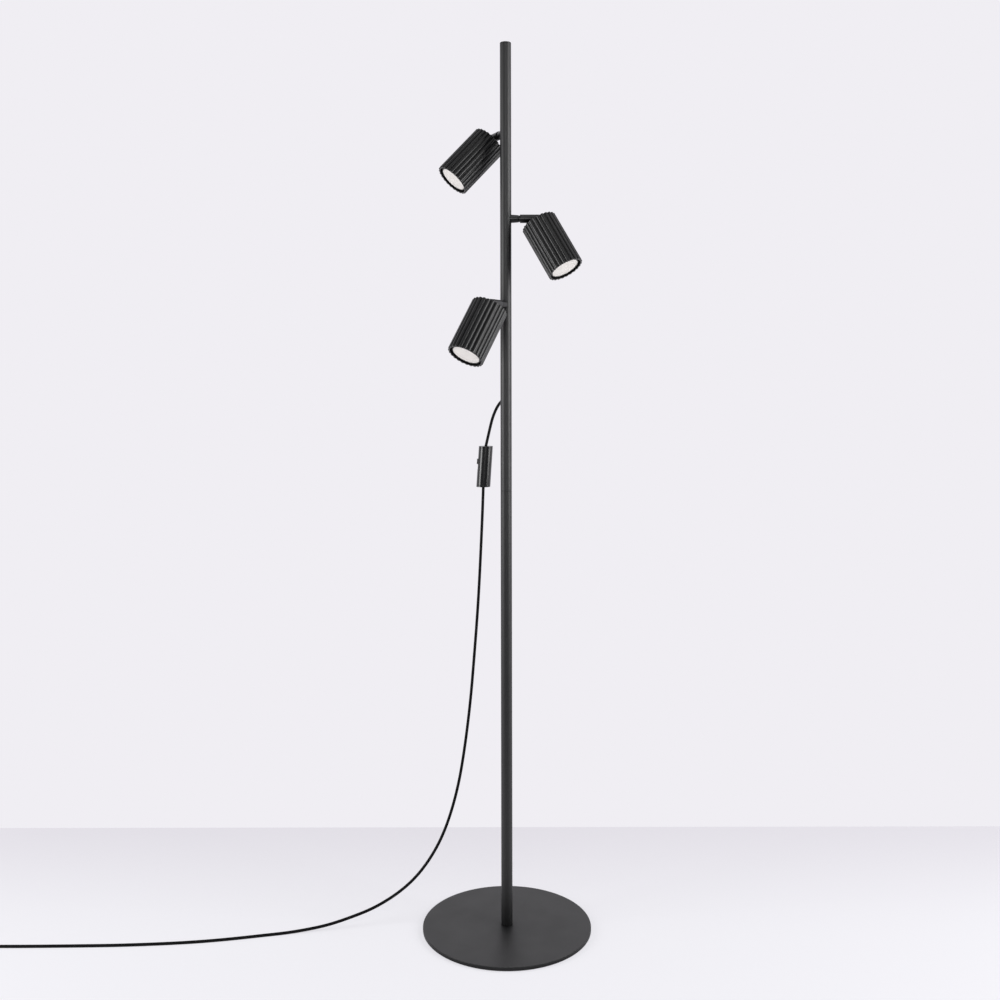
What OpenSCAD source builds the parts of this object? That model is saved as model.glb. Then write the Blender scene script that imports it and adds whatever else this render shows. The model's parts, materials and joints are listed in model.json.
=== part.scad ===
// Floor lamp: a slim two-piece pole on a round plate, with three fluted spots
// that swivel and tilt, and a mains lead with a slide switch on it.
// Millimetres, Z up. The origin is the middle of the base, on the floor.
// X runs to the right and Y away from someone who looks at the front.

/* [Base] */
// Diameter of the round base plate
base_d = 284; // [240:2:340]
// Thickness of the base plate
base_t = 6; // [4.5:0.5:8]
// Thickness of the anti-slip pad under the plate
pad_t = 1.5; // [1:0.5:3]
// How far the pad stays inside the plate's edge
pad_inset = 5; // [2:1:20]
// Thread diameter of the countersunk screw that holds the pole
base_screw_d = 8; // [6:1:8]

/* [Pole] */
// Height of the whole lamp
lamp_h = 1500; // [1450:5:1650]
// Outer diameter of both pole tubes
pole_d = 19; // [19:0.5:22]
// Wall of both pole tubes
pole_wall = 1.2; // [0.8:0.1:1.3]
// Distance from the lead's exit down to the joint between the tubes
seam_drop = 152; // [60:1:250]
// Diameter of the stud that joins the tubes
stud_d = 10; // [8:0.5:11]
// Length of each threaded bush at the joint
bush_len = 20; // [16:1:30]
// Length of the threaded foot insert
foot_len = 25; // [20:1:40]
// Height of the top cap's rim
cap_rim = 2.5; // [1.5:0.1:4]
// Depth of the top cap's plug inside the tube
cap_plug = 12; // [8:1:20]

/* [Spots] */
// Distance from the lamp's top down to the highest spot's arm
top_drop = 152.5; // [140:0.5:170]
// Distance from one spot's arm down to the next
spot_step = 146; // [140:1:160]
// Outer diameter of the fixed stub on the pole, at its far end
stub_d = 12.2; // [11.6:0.1:13]
// How much wider the stub is where it meets the pole
stub_flare = 1.8; // [0:0.1:2.4]
// Length of the stub outside the pole
stub_len = 12.5; // [10:0.5:20]
// Outer diameter of the stub's threaded shank
shank_d = 9; // [8.6:0.1:9.4]
// Outer diameter of the knuckle
knuckle_d = 14.4; // [13:0.1:15]
// Distance from the knuckle's back to its pivot
knuckle_len = 28; // [24:0.5:34]
// Gap between stub and knuckle, bridged by the neck
neck_len = 2; // [1.5:0.1:3]
// Diameter of the neck
neck_d = 11; // [8:0.1:11.4]
// Diameter of the knuckle's spigot inside the stub
spigot_d = 6.8; // [6.4:0.1:7]
// Bore for the wires through the spigot
wire_bore = 4.4; // [3.5:0.1:4.6]
// Thickness of the tongue in the fork
tongue_t = 5; // [4:0.1:5.6]
// Width of the tongue, across its rounded end
tongue_w = 10; // [8:0.1:11]
// Diameter of the pivot screw
pivot_d = 4; // [3:0.1:4.2]

/* [Head] */
// Diameter of a head over its ribs
head_d = 62.4; // [61:0.1:66]
// Length of a head
head_len = 97.5; // [93:0.5:104]
// Distance from the pivot to a head's back face
head_gap = 9; // [9:0.5:14]
// Number of ribs round a head
rib_count = 24; // [16:1:26]
// Width of one rib
rib_w = 6.6; // [5:0.1:7]
// Height of a rib over the groove
rib_h = 2.2; // [1.2:0.1:2.5]
// Wall between groove and bore
shell_wall = 1.5; // [1:0.1:2.5]
// Depth of the bulb's face inside the mouth
bulb_recess = 2.4; // [1.5:0.1:4]

/* [Bulb] */
// Room round the bulb in its head, 2.5 for a standard bulb of 50
bulb_gap = 2.5; // [1.5:0.1:3]
// Length of the bulb without its pins
bulb_len = 52; // [50:0.5:54]
// Distance between the bulb's two pins
pin_span = 10; // [9:0.1:11]
// Diameter of the lampholder
holder_d = 27; // [25:0.5:32]
// Height of the lampholder
holder_len = 22; // [18:0.5:24]

/* [Lead] */
// Diameter of the round lead
cord_d = 5; // [4:0.1:5.2]
// Distance from the lowest spot's arm down to the lead's exit
exit_drop = 162.5; // [120:0.5:180]
// Length of the tapered strain relief
boot_len = 20; // [20:1:25]
// Diameter of the switch
switch_d = 24.4; // [22:0.1:27]
// Length of the switch
switch_len = 71; // [66:0.5:80]
// Travel of the switch's slider
slide_travel = 8; // [4:0.5:8]
// Width of the plug
plug_w = 35; // [30:0.5:38]
// Length of the plug's body
plug_len = 36; // [30:0.5:40]
// Diameter of the plug's pins
plug_pin_d = 4; // [3.8:0.1:4.8]
// Length of the plug's pins
plug_pin_len = 19; // [17:0.5:20]
// Distance between the plug's pins
plug_pin_span = 19; // [17:0.1:20]

/* [Hidden] */
$fn = 72;

// Radial clearance of a running or seated round fit
fit = 0.05;
// Gap between flat faces that slide past each other
slide_gap = 0.1;
// Small edge break on turned and cut edges
edge = 0.6;

// Heights on the stand
plate_z = pad_t;
plate_top = pad_t + base_t;
cap_z = lamp_h - cap_rim;
pole_r = pole_d / 2;
pole_bore = pole_r - pole_wall;

// Arm, measured outwards from the pole's axis
stub_end = pole_r + stub_len;
knuckle_back = stub_end + neck_len;
pivot_r = knuckle_back + knuckle_len;
shank_in = pole_bore - 3.1;
spigot_in = shank_in - 1.2;
clip_t = 0.7;
slot_w = tongue_t + 2 * slide_gap;
screw_head_d = 6.8;
screw_head_t = 1.8;
cheek_seat = slot_w / 2 + 1.7;
wire_d = 2;

// Each spot's direction round the pole, and how it is turned and tilted at rest.
// Swivel 0 hangs the head straight down, and tilt 0 points it straight out.
spot_az = [115.5, 0, 243];
spot_swivel = [43.5, -20.4, -12.5];
spot_tilt = [86.2, 63.4, 58.7];
function spot_z(s) = lamp_h - top_drop - s * spot_step;

// The lead's exit and the joint hang below the spots, so only the lower tube
// follows the lamp's height
exit_z = spot_z(2) - exit_drop;
seam_z = exit_z - seam_drop;

// Head, measured forwards from its pivot
head_front = head_gap + head_len;
rib_r = rib_w / 2;
groove_r = head_d / 2 - rib_h;
shell_bore = groove_r - shell_wall;
cap_t = 3;
cap_skirt = 5;
shoulder_t = 4;
bulb_r = shell_bore - bulb_gap;
shoulder_bore = bulb_r + 1;
bulb_front = head_front - bulb_recess;
bulb_back = bulb_front - bulb_len;
holder_back = bulb_back - slide_gap - holder_len;
post_off = 8.5;
post_d = 6;
holder_screw_d = 3;
lead_off = 3.6;

// Lead, its switch and its coil
cord_r = cord_d / 2;
exit_az = 100;
boot_tip = pole_r + 1.5 + boot_len;
switch_pos = [-37.3, 54, exit_z - 115];
switch_lean = 3.75;
switch_wall = 2;
switch_cap_t = 3;
block_len = 44;
slide_mid = 4;
slider_len = 9;
slider_w = 5;
cord_pitch = cord_d + 0.5;
coil_turns = 2;
coil_tail_turns = 0.25;
coil_mid = 27.5;
coil_centre = [-908, -30.5];
coil_tail = 24;
plug_boot = 25;
above_switch = 18.5;
below_switch = 16.5;

// Route of the lead from the pole to the switch
function exit_at(r) = [r * cos(exit_az), r * sin(exit_az), exit_z];
function switch_at(h) = switch_pos + h * [sin(switch_lean), 0, cos(switch_lean)];
upper_route = concat(
    [exit_at(boot_tip + slide_gap), exit_at(boot_tip + 5.5)],
    [for (p = [[-8.5, 46, -2], [-13, 54, -8], [-18, 58.5, -17], [-23.5, 59.5, -31],
        [-27.5, 58, -47]]) p + [0, 0, exit_z]],
    [switch_at(switch_len / 2 + above_switch), switch_at(switch_len / 2),
     switch_at(block_len / 2 + slide_gap)]);

// Route from the switch down to the floor and along it to the coil
floor_route = [
    [-41, 54, 700], [-44, 54, 635], [-47, 53, 573], [-51, 52, 510], [-56, 51, 448],
    [-61, 49, 386], [-68, 46, 324], [-77, 43, 262], [-85, 40, 222], [-96, 36, 182],
    [-111, 32, 142], [-131, 27, 107], [-156, 22, 76], [-182, 17, 55], [-207, 12, 40],
    [-233, 7, 28], [-258, 3, 20], [-283, -2, 13], [-307, -7, 8], [-332, -12, 5],
    [-356, -17, 3], [-380, -23, 2.5], [-404, -28, 2.5], [-451, -39, 2.5],
    [-499, -48, 2.5], [-547, -54, 2.5], [-596, -58, 2.5], [-644, -61, 2.5],
    [-693, -62, 2.5], [-742, -63, 2.5], [-791, -63.5, 2.5], [-850, -63.5, 2.5]
];
lower_route = concat(
    [switch_at(-block_len / 2 - slide_gap), switch_at(-switch_len / 2),
     switch_at(-switch_len / 2 - below_switch)],
    [for (p = floor_route) if (p.z < switch_pos.z - switch_len) p],
    [coil_at(0) + [cord_d + slide_gap, 0, 0]]);

// The coil winds inwards on the floor and outwards again on top, one layer up
coil_end_turn = 2 * coil_turns + coil_tail_turns;
function coil_radius(t) = coil_mid + (abs(t - coil_turns) - coil_turns / 2) * cord_pitch;
function ease(a) = let (b = min(max(a, 0), 1)) b * b * (3 - 2 * b);
function coil_height(t) = cord_r + cord_pitch * ease((t - coil_turns + 0.25) / 0.5);
function coil_at(t) = [coil_centre.x + coil_radius(t) * cos(-90 - 360 * t),
    coil_centre.y + coil_radius(t) * sin(-90 - 360 * t), coil_height(t)];
coil_rings = 24;
coil_route = concat([coil_at(0) + [cord_d, 0, 0]],
    [for (i = [0:coil_rings * coil_end_turn]) coil_at(i / coil_rings)],
    [coil_at(coil_end_turn) + [0, coil_tail - cord_d, 0],
     coil_at(coil_end_turn) + [0, coil_tail, 0]]);
half_loop = coil_rings / 2;
coil_gap = min([for (i = [0:len(coil_route) - 1 - half_loop])
    min([for (j = [i + half_loop:len(coil_route) - 1])
        norm(coil_route[i] - coil_route[j])])]) - cord_d;
echo(str("Least gap between the coil's turns: ", coil_gap, " mm"));

// Smooth curve through a route's points, kept on top of the floor
function through(a, b, c, d, t) = 0.5 * (2 * b + (c - a) * t
    + (2 * a - 5 * b + 4 * c - d) * t * t + (3 * b - a - 3 * c + d) * t * t * t);
function on_floor(p) = [p.x, p.y, max(p.z, cord_r)];
function curve(p, steps) = concat(
    [for (i = [0:len(p) - 2]) for (k = [0:steps - 1])
        on_floor(through(p[max(i - 1, 0)], p[i], p[i + 1], p[min(i + 2, len(p) - 1)],
            k / steps))],
    [p[len(p) - 1]]);
function unit(v) = v / norm(v);

// A tube of flat-sided rings along points, with flat ends
module sweep(p, sides, ref, turn) {
    last = len(p) - 1;
    rings = [for (i = [0:last])
        let (t = unit(p[min(i + 1, last)] - p[max(i - 1, 0)]),
             a = unit(cross(t, ref)), b = cross(t, a))
        for (k = [0:sides - 1])
            p[i] + cord_r * (cos(turn + 360 * k / sides) * a
                + sin(turn + 360 * k / sides) * b)];
    walls = [for (i = [0:last - 1]) for (k = [0:sides - 1])
        let (m = (k + 1) % sides, q = i * sides)
        for (f = [[q + k, q + sides + k, q + m], [q + m, q + sides + k, q + sides + m]]) f];
    ends = [for (k = [1:sides - 2])
        for (f = [[0, k, k + 1], [last * sides, last * sides + k + 1, last * sides + k]]) f];
    polyhedron(rings, concat(walls, ends), convexity = 10);
}

// A rod or a tube along X
module rod(x0, x1, d) {
    translate([x0, 0, 0]) rotate([0, 90, 0]) cylinder(h = x1 - x0, d = d);
}

// A turned rod along X that narrows from d0 to d1, with its far edge broken
module turned(x0, x1, d0, d1) {
    translate([x0, 0, 0]) rotate([0, 90, 0])
        cylinder(h = x1 - edge - x0, d1 = d0, d2 = d1);
    translate([x1 - edge, 0, 0]) rotate([0, 90, 0])
        cylinder(h = edge, d1 = d1, d2 = d1 - 2 * edge);
}

// Places the arm's own frame: X runs outwards along the stub, swivelled at rest
module on_arm(s) {
    translate([0, 0, spot_z(s)]) rotate([0, 0, spot_az[s]])
        rotate([spot_swivel[s], 0, 0]) children();
}

// Places the head's own frame: X runs forwards from the pivot, tilted at rest
module on_head(s) {
    on_arm(s) translate([pivot_r, 0, 0]) rotate([0, spot_tilt[s], 0]) children();
}

module at_stub(s) {
    translate([0, 0, spot_z(s)]) rotate([0, 0, spot_az[s]]) children();
}

module at_exit() {
    translate([0, 0, exit_z]) rotate([0, 0, exit_az]) children();
}

module at_switch() {
    translate(switch_pos) rotate([0, switch_lean, 0]) children();
}

module at_plug() {
    translate(coil_at(coil_end_turn) + [0, coil_tail + slide_gap, 0]) children();
}

// Stand
pad_hole_d = 2 * base_screw_d + 6;
csk_d = 2 * base_screw_d;
csk_t = base_screw_d / 2;

module base_plate() {
    color("#3d3d41") difference() {
        rotate_extrude($fn = 144) polygon([[0, plate_z], [base_d / 2 - edge, plate_z],
            [base_d / 2, plate_z + edge], [base_d / 2, plate_top - edge],
            [base_d / 2 - edge, plate_top], [0, plate_top]]);
        translate([0, 0, -1]) cylinder(h = plate_top + 2, d = base_screw_d + 0.4);
        translate([0, 0, plate_z - 1])
            cylinder(h = 1 + slide_gap, d = csk_d + 0.4);
        translate([0, 0, plate_z + slide_gap])
            cylinder(h = csk_t, d1 = csk_d + 0.4, d2 = base_screw_d + 0.4);
    }
}

module floor_pad() {
    color("#1c1c1e") difference() {
        cylinder(h = pad_t, d = base_d - 2 * pad_inset, $fn = 144);
        translate([0, 0, -1]) cylinder(h = pad_t + 2, d = pad_hole_d);
    }
}

module base_screw() {
    head_z = plate_z + slide_gap;
    color("#8b8d90") difference() {
        union() {
            translate([0, 0, head_z]) cylinder(h = csk_t, d1 = csk_d, d2 = base_screw_d);
            translate([0, 0, head_z])
                cylinder(h = base_t + foot_len - 4, d = base_screw_d);
        }
        translate([0, 0, head_z - 1])
            cylinder(h = 1 + csk_t * 0.7, d = base_screw_d * 0.7, $fn = 6);
    }
}

module pole_foot() {
    color("#77797c") difference() {
        translate([0, 0, plate_top]) cylinder(h = foot_len, r = pole_bore - fit);
        translate([0, 0, plate_top - 1])
            cylinder(h = foot_len + 2, d = base_screw_d + 2 * fit);
    }
}

// A tube of the pole with its edges broken at the joint
module pole_tube(z0, z1, low_edge, high_edge) {
    difference() {
        translate([0, 0, z0]) rotate_extrude($fn = 96) polygon([
            [pole_bore, 0], [pole_r - low_edge, 0], [pole_r, low_edge],
            [pole_r, z1 - z0 - high_edge], [pole_r - high_edge, z1 - z0],
            [pole_bore, z1 - z0]]);
        children();
    }
}

module lower_pole() {
    color("#3d3d41") pole_tube(plate_top, seam_z, 0, edge);
}

module upper_pole() {
    color("#3d3d41") pole_tube(seam_z, cap_z, edge, 0) {
        for (s = [0:2]) at_stub(s) rod(0, pole_r + 1, shank_d + 2 * slide_gap);
        at_exit() rod(0, pole_r + 1, boot_neck_d + 2 * slide_gap);
    }
}

module joint_bush(z0) {
    color("#77797c") difference() {
        translate([0, 0, z0]) cylinder(h = bush_len, r = pole_bore - fit);
        translate([0, 0, z0 - 1]) cylinder(h = bush_len + 2, d = stud_d + 2 * fit);
    }
}

module lower_bush() { joint_bush(seam_z - bush_len); }
module upper_bush() { joint_bush(seam_z); }

module joint_stud() {
    color("#8b8d90") translate([0, 0, seam_z - bush_len * 0.8])
        cylinder(h = bush_len * 1.6, d = stud_d);
}

module top_cap() {
    round_r = 1.2;
    color("#333337") union() {
        translate([0, 0, cap_z]) rotate_extrude($fn = 96) union() {
            square([pole_r - round_r, cap_rim]);
            square([pole_r, cap_rim - round_r]);
            translate([pole_r - round_r, cap_rim - round_r]) circle(r = round_r);
        }
        translate([0, 0, cap_z - cap_plug])
            cylinder(h = cap_plug + 0.5, r = pole_bore - fit);
    }
}

// The threaded inserts behind the pole's wall that the three stubs screw into
module stub_inserts() {
    color("#77797c") for (s = [0:2]) intersection() {
        at_stub(s) difference() {
            rod(shank_in - 0.2, pole_r, shank_d + 4);
            rod(0, pole_r + 1, shank_d + 2 * fit);
        }
        translate([0, 0, spot_z(2) - 20])
            cylinder(h = 2 * spot_step + 40, r = pole_bore - fit);
    }
}

// Arm
module stub(s) {
    color("#38383c") at_stub(s) difference() {
        union() {
            difference() {
                union() {
                    rod(pole_r / 2, pole_r, stub_d + stub_flare);
                    turned(pole_r, stub_end, stub_d + stub_flare, stub_d);
                }
                translate([0, 0, -stub_d])
                    cylinder(h = 2 * stub_d, r = pole_r + fit, $fn = 96);
            }
            rod(shank_in, pole_r + 1, shank_d);
        }
        rod(shank_in - 1, stub_end + 1, spigot_d + 2 * fit);
    }
}

// The split ring that keeps the spigot from pulling out of the stub
module clip(s) {
    color("#9a9b9d") on_arm(s) difference() {
        rod(spigot_in + 0.4, spigot_in + 0.4 + clip_t, spigot_d + 2);
        rod(spigot_in, shank_in + 1, spigot_d - 1 + 2 * fit);
        translate([spigot_in, -spigot_d / 4, 0])
            cube([clip_t + 2, spigot_d / 2, spigot_d]);
    }
}

module knuckle(s) {
    end_r = knuckle_d / 2;
    color("#38383c") on_arm(s) difference() {
        union() {
            rod(spigot_in, knuckle_back + 1, spigot_d);
            rod(stub_end + slide_gap, knuckle_back + 1, neck_d);
            intersection() {
                union() {
                    translate([knuckle_back, 0, 0]) rotate([0, 90, 0])
                        cylinder(h = edge, d1 = knuckle_d - 2 * edge, d2 = knuckle_d);
                    rod(knuckle_back + edge, pivot_r + end_r, knuckle_d);
                }
                union() {
                    translate([knuckle_back - 1, -end_r, -end_r])
                        cube([knuckle_len + 1, knuckle_d, knuckle_d]);
                    translate([pivot_r, end_r, 0]) rotate([90, 0, 0])
                        cylinder(h = knuckle_d, r = end_r);
                }
            }
        }
        rod(spigot_in - 1, pivot_r - tongue_w / 2 - 2, wire_bore);
        difference() {
            rod(spigot_in + 0.4 - fit, spigot_in + 0.4 + clip_t + fit, spigot_d + 1);
            rod(spigot_in, shank_in + 1, spigot_d - 1);
        }
        translate([pivot_r - tongue_w / 2 - 1, -slot_w / 2, -knuckle_d])
            cube([tongue_w + knuckle_d, slot_w, 2 * knuckle_d]);
        translate([pivot_r, knuckle_d, 0]) rotate([90, 0, 0])
            cylinder(h = 2 * knuckle_d, d = pivot_d + 2 * fit);
        translate([pivot_r, knuckle_d, 0]) rotate([90, 0, 0])
            cylinder(h = knuckle_d - cheek_seat, d = screw_head_d + 4 * fit);
    }
}

module pivot_screw(s) {
    color("#2c2c2f") on_arm(s) translate([pivot_r, 0, 0]) rotate([-90, 0, 0])
        difference() {
            union() {
                translate([0, 0, -knuckle_d / 2 + 0.4])
                    cylinder(h = knuckle_d / 2 - 0.4 + cheek_seat, d = pivot_d);
                translate([0, 0, cheek_seat])
                    cylinder(h = screw_head_t, d = screw_head_d);
            }
            translate([0, 0, cheek_seat + screw_head_t - 1.2])
                cylinder(h = 2, d = 2.9, $fn = 6);
        }
}

// Head
module rear_cap(s) {
    cap_r = shell_bore - fit;
    color("#38383c") on_head(s) difference() {
        union() {
            rod(head_gap, head_gap + cap_t, 2 * cap_r);
            difference() {
                rod(head_gap + cap_t - 0.5, head_gap + cap_t + cap_skirt, 2 * cap_r);
                rod(head_gap, head_gap + cap_t + cap_skirt + 1, 2 * cap_r - 4);
            }
            for (side = [-1, 1]) translate([0, 0, side * post_off])
                rod(head_gap + cap_t - 0.5, holder_back - fit, post_d);
            rotate([90, 0, 0]) translate([0, 0, -tongue_t / 2])
                cylinder(h = tongue_t, d = tongue_w);
            translate([0, -tongue_t / 2, -tongue_w / 2])
                cube([head_gap + 0.5, tongue_t, tongue_w]);
        }
        rotate([90, 0, 0]) translate([0, 0, -tongue_t])
            cylinder(h = 2 * tongue_t, d = pivot_d + 2 * fit);
        for (side = [-1, 1]) translate([0, 0, side * post_off])
            rod(head_gap + cap_t + 2, holder_back + 1, holder_screw_d + 2 * fit);
        translate([0, 0, lead_off]) rod(0, head_gap + cap_t + 1, wire_d + 4 * fit);
    }
}

module shell(s) {
    skirt_end = head_gap + cap_t + cap_skirt + slide_gap;
    color("#38383c") on_head(s) difference() {
        translate([head_gap, 0, 0]) rotate([0, 90, 0]) linear_extrude(head_len)
            union() {
                circle(r = groove_r, $fn = 144);
                for (k = [0:rib_count - 1]) rotate([0, 0, 360 * (k + 0.5) / rib_count])
                    translate([head_d / 2 - rib_r, 0]) circle(r = rib_r, $fn = 36);
            }
        rod(head_gap - 1, skirt_end, 2 * shell_bore);
        rod(skirt_end - 1, head_front + 1, 2 * shoulder_bore);
        rod(skirt_end + shoulder_t, head_front + 1, 2 * shell_bore);
    }
}

module lampholder(s) {
    front = holder_back + holder_len;
    color("#e4e0d6") on_head(s) difference() {
        rod(holder_back, front, holder_d);
        for (side = [-1, 1]) {
            translate([0, side * pin_span / 2, 0]) rod(front - 9, front + 1, 5.8);
            translate([0, 0, side * post_off]) {
                rod(holder_back - 1, front + 1, holder_screw_d + 0.4);
                rod(front - 3, front + 1, 2 * holder_screw_d);
            }
        }
    }
}

module holder_screws(s) {
    front = holder_back + holder_len;
    color("#8b8d90") on_head(s) for (side = [-1, 1]) translate([0, 0, side * post_off])
        difference() {
            union() {
                rod(holder_back - 8, front - 2, holder_screw_d);
                rod(front - 3 + fit, front - 0.8, 1.85 * holder_screw_d);
            }
            translate([front - 1.8, -3, -0.4]) cube([2, 6, 0.8]);
        }
}

module bulb(s) {
    neck_r = 11;
    color("#ecebe6") on_head(s) {
        difference() {
            rotate([0, 90, 0]) rotate_extrude($fn = 96) polygon([
                [0, bulb_back], [neck_r, bulb_back], [neck_r, bulb_back + 10],
                [bulb_r - 3, bulb_front - 22], [bulb_r, bulb_front - 14],
                [bulb_r, bulb_front - 0.8], [bulb_r - 0.6, bulb_front],
                [0, bulb_front]]);
            rod(bulb_front - lens_t, bulb_front + 1, 2 * lens_r + 2 * fit);
        }
        for (side = [-1, 1]) translate([0, side * pin_span / 2, 0]) {
            rod(bulb_back - 7, bulb_back + 1, 2.5);
            rod(bulb_back - 7, bulb_back - 4.4, 5);
        }
    }
}
lens_t = 2.4;
lens_r = bulb_r - 1.6;

module lens(s) {
    color("#fbfaf5") on_head(s) union() {
        rod(bulb_front - lens_t, bulb_front - 0.3, 2 * lens_r);
        translate([bulb_front - 0.3, 0, 0]) rotate([0, 90, 0])
            cylinder(h = 0.3, r1 = lens_r, r2 = lens_r - 0.8);
    }
}

// The pair of leads from the tongue to the lampholder
module leads(s) {
    color("#d9d6cf") on_head(s) translate([0, 0, lead_off])
        rod(pivot_d / 2 + 2, holder_back - slide_gap, wire_d);
}

// Lead
boot_neck_d = 7.8;

module cord_boot() {
    color("#1f1f21") at_exit() difference() {
        union() {
            difference() {
                rod(pole_r / 2, pole_r + 1.5, 11);
                translate([0, 0, -8]) cylinder(h = 16, r = pole_r + fit, $fn = 96);
            }
            rod(pole_bore - 0.8, pole_r + 1, boot_neck_d);
            translate([pole_r + 1.4, 0, 0]) rotate([0, 90, 0])
                cylinder(h = boot_len + 0.1, d1 = cord_d + 4.2, d2 = cord_d + 1.6);
        }
        rod(0, boot_tip + 1, cord_d + 2 * fit);
    }
}

// The ring that grips the lead inside the pole, short of the bore's curve
module cord_clamp() {
    color("#8b8d90") at_exit() difference() {
        rod(clamp_in, pole_bore - 2.1, 2 * cord_d);
        rod(clamp_in - 1, pole_bore, cord_d + 2 * fit);
    }
}
clamp_in = -2;

module cord_inner_end() {
    color("#1f1f21") at_exit() rod(clamp_in - 0.3, boot_tip, cord_d);
}

// Crimped splices that join the lead's two wires to the bundle for the three spots
splice_z = exit_z + 12;
splice_len = 20;
splice_d = 6;
splice_x = splice_d / 2 + 0.3;
splice_y = -3.7;
tail_x = 1.2;
bundle_y = -0.8;
bundle_d = 1.8 * wire_d;

module wire_splices() {
    color("#d8d4cb") for (side = [-1, 1])
        translate([side * splice_x, splice_y, splice_z])
            cylinder(h = splice_len, d = splice_d);
}

module pole_wires() {
    color("#c9b07a") {
        for (side = [-1, 1]) translate([side * tail_x, splice_y, exit_z - wire_d])
            cylinder(h = splice_z - exit_z + wire_d, d = wire_d);
        translate([0, bundle_y, splice_z + splice_len])
            cylinder(h = spot_z(0) + 1 - splice_z - splice_len, d = bundle_d);
        for (s = [0:2]) at_stub(s) rod(-1, spigot_in - slide_gap, wire_d + 0.4);
    }
}

module cord_upper() {
    color("#1a1a1c") sweep(curve(upper_route, 2), 8, [0.6, 0.64, -0.48], 0);
}

module cord_lower() {
    color("#1a1a1c") sweep(curve(lower_route, 2), 8, [0, 1, 0], 0);
}

module cord_coil() {
    color("#1a1a1c") sweep(coil_route, 6, [0, 0, 1], 30);
}

// Switch
switch_r = switch_d / 2;
switch_bore = switch_r - switch_wall;
tube_half = switch_len / 2 - switch_cap_t;
slot_len = slider_len + slide_travel + 4 * slide_gap;
plate_x = 0.9 * switch_bore;
plate_t = 0.8;

module switch_body() {
    color("#2a2a2d") at_switch() difference() {
        translate([0, 0, -tube_half]) cylinder(h = 2 * tube_half, r = switch_r);
        translate([0, 0, -tube_half - 1])
            cylinder(h = 2 * tube_half + 2, r = switch_bore);
        translate([-switch_r - 1, -slider_w / 2 - slide_gap, slide_mid - slot_len / 2])
            cube([switch_wall + 3, slider_w + 2 * slide_gap, slot_len]);
    }
}

module switch_cap() {
    color("#2a2a2d") difference() {
        union() {
            translate([0, 0, tube_half])
                cylinder(h = switch_cap_t - edge, r = switch_r);
            translate([0, 0, tube_half + switch_cap_t - edge])
                cylinder(h = edge, r1 = switch_r, r2 = switch_r - edge);
            translate([0, 0, tube_half - 4])
                cylinder(h = 5, r = switch_bore - fit);
        }
        translate([0, 0, tube_half - 5])
            cylinder(h = switch_cap_t + 6, d = cord_d + 2 * fit);
    }
}

module switch_cap_top() { at_switch() switch_cap(); }
module switch_cap_bottom() { at_switch() rotate([180, 0, 0]) switch_cap(); }

module switch_block() {
    front = -plate_x + plate_t + slide_gap;
    color("#d8d4cb") at_switch() difference() {
        translate([0, 0, -block_len / 2]) cylinder(h = block_len, r = switch_bore - fit);
        translate([-switch_r, -switch_r, slide_mid - slot_len / 2 - 4])
            cube([switch_r + front, switch_d, slot_len + 8]);
    }
}

module switch_slider() {
    rest = slide_mid + slide_travel / 2;
    proud = 1.7;
    color("#1c1c1e") at_switch() translate([0, 0, rest]) {
        difference() {
            translate([-switch_r - proud, -slider_w / 2, -slider_len / 2])
                cube([switch_r + proud - plate_x + 0.2, slider_w, slider_len]);
            for (k = [-1:1]) translate([-switch_r - proud - 0.3, -slider_w, k * 2.4 - 0.4])
                cube([0.8, 2 * slider_w, 0.8]);
        }
        translate([-plate_x, -slider_w / 2 - 1, -slider_len / 2 - 1.5])
            cube([plate_t, slider_w + 2, slider_len + 3]);
    }
}

// Plug, lying flat beside the coil
module plug_body() {
    half_h = coil_height(coil_end_turn);
    half_w = plug_w / 2;
    y0 = plug_boot;
    y1 = plug_boot + plug_len;
    color("#1c1c1e") at_plug() difference() {
        union() {
            rotate([-90, 0, 0])
                cylinder(h = plug_boot + 1, d1 = cord_d + 1.4, d2 = cord_d + 5);
            intersection() {
                translate([0, 0, -half_h]) linear_extrude(2 * half_h) polygon([
                    [-half_w * 0.42, y0], [-half_w * 0.86, y0 + 7], [-half_w, y0 + 13],
                    [-half_w, y1 - 12], [-half_w * 0.8, y1], [half_w * 0.8, y1],
                    [half_w, y1 - 12], [half_w, y0 + 13], [half_w * 0.86, y0 + 7],
                    [half_w * 0.42, y0]]);
                rotate([90, 0, 90]) translate([0, 0, -half_w]) linear_extrude(plug_w)
                    polygon([[y0, -half_h * 0.7], [y0 + 3, -half_h], [y1 - 1, -half_h],
                        [y1, -half_h + 1], [y1, half_h - 1], [y1 - 1, half_h],
                        [y0 + 3, half_h], [y0, half_h * 0.7]]);
            }
        }
        for (side = [-1, 1]) translate([side * plug_pin_span / 2, y1 - pin_root - fit, 0])
            rotate([-90, 0, 0]) cylinder(h = pin_root + 1, d = pin_root_d + 2 * fit);
    }
}
pin_root = 8;
pin_root_d = plug_pin_d - 1;

// The pins, thinner where they are moulded into the plug
module plug_pins() {
    straight = plug_pin_len - pin_tip;
    color("#b9babd") at_plug() for (side = [-1, 1])
        translate([side * plug_pin_span / 2, plug_boot + plug_len, 0])
            rotate([-90, 0, 0]) {
                translate([0, 0, -pin_root]) cylinder(h = pin_root + 1, d = pin_root_d);
                cylinder(h = straight, d = plug_pin_d);
                translate([0, 0, straight])
                    cylinder(h = pin_tip, d1 = plug_pin_d, d2 = plug_pin_d - 1.6);
            }
}
pin_tip = 1;

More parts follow.
